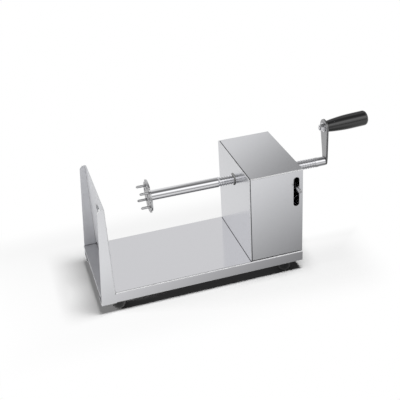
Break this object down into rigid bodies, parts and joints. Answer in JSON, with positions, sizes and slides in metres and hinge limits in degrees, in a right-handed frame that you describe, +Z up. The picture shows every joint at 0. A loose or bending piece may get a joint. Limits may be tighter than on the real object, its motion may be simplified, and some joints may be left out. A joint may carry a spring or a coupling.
{
  "type": "tornado potato cutter",
  "caption": "Hand-cranked spiral potato cutter: folded steel tray, blade frame, screw housing with release lever, pronged disc on a long lead screw, and a crank with a turning grip.",
  "frame": {"origin": "on the table under the middle of the whole machine's bounding box", "axes": "+X along the machine towards the crank, +Y away from the lever side, +Z up"},
  "size_m": [0.44, 0.1509, 0.2076],
  "materials": {
    "sheet": "polished stainless sheet",
    "blade": "ground edge",
    "bright": "satin steel",
    "screw": "bright plated",
    "fastener": "bright steel",
    "bush": "natural nylon",
    "nut": "machined",
    "rubber": "moulded rubber",
    "grip": "satin moulded plastic"
  },
  "bodies": {
    "frame": {"base_tray": "sheet", "blade_frame": "sheet", "slicing_blade": "blade", "skewer_guide": "bright", "blade_screws": "fastener", "blade_nuts": "fastener", "feet": "rubber", "foot_screws": "fastener", "foot_nuts": "fastener", "housing_cover": "sheet", "front_panel": "sheet", "rear_panel": "sheet", "housing_screws": "fastener", "housing_nuts": "fastener", "pivot_bracket": "fastener", "pivot_pin": "fastener"},
    "bushes": {"front_bush": "bush", "rear_bush": "bush"},
    "spindle": {"lead_screw": "screw", "prong_disc": "bright", "prongs": "bright", "crank_arm": "bright", "crank_screw": "fastener", "grip_bolt": "fastener", "grip_washers": "fastener", "grip_nut": "fastener"},
    "grip": {"grip": "grip"},
    "lever": {"release_lever": "bright", "half_nut": "nut", "half_nut_pins": "fastener"}
  },
  "joints": [
    {"name": "crank_turn", "type": "hinge", "parent": "frame", "child": "bushes", "pos_m": [0, 0.0055, 0.1368], "axis": [-1, 0, 0], "range_deg": [-7200, 4680]},
    {"name": "screw_feed", "type": "slide", "parent": "bushes", "child": "spindle", "axis": [-1, 0, 0], "range_m": [-0.0801, 0.0521]},
    {"name": "grip_spin", "type": "hinge", "parent": "spindle", "child": "grip", "pos_m": [0.18069, 0.0055, 0.19483], "axis": [0.999, 0, 0.0436], "continuous": true},
    {"name": "lever_lift", "type": "hinge", "parent": "frame", "child": "lever", "pos_m": [0.079, 0.0575, 0.1588], "axis": [-1, 0, 0], "range_deg": [0, 5.5]}
  ],
  "couplings": [
    {"joint": "screw_feed", "follows": "crank_turn", "m_per_rad": 0.00063662}
  ]
}
